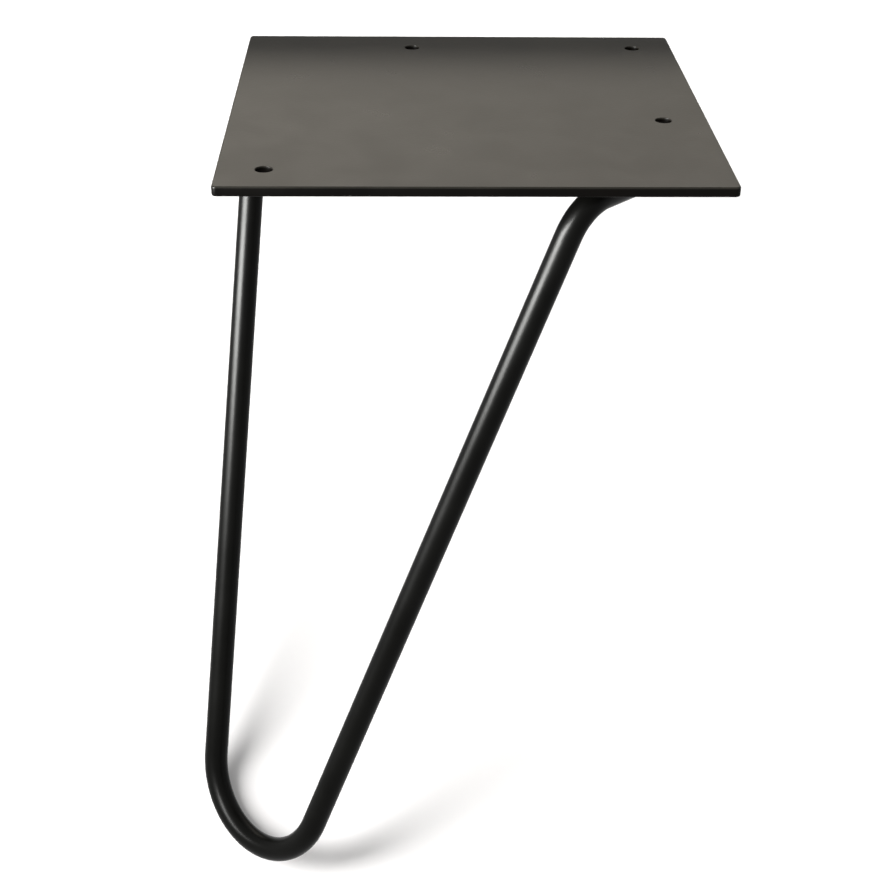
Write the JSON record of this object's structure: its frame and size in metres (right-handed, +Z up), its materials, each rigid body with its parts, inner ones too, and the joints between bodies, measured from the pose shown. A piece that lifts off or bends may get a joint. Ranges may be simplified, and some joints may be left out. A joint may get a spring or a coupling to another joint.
{
  "type": "tubular furniture leg",
  "caption": "Hairpin-style furniture leg: a round steel tube bent into a V and welded under a square screw plate.",
  "frame": {"origin": "centre of the mounting plate's top face, which lies against the furniture", "axes": "+Z up, out of the mounting face into the furniture; X and Y along the plate's sides; the foot is under the outer corner, at -X -Y"},
  "size_m": [0.1674, 0.1674, 0.25],
  "materials": {
    "plate_coat": "satin black powder coat",
    "tube_coat": "semi-gloss black powder coat",
    "weld_coat": "black powder coat over a weld bead"
  },
  "bodies": {
    "root": {"mounting_plate": "plate_coat", "bent_tube": "tube_coat", "front_weld_outer": "weld_coat", "front_weld_inner": "weld_coat", "side_weld_outer": "weld_coat", "side_weld_inner": "weld_coat"}
  },
  "joints": []
}
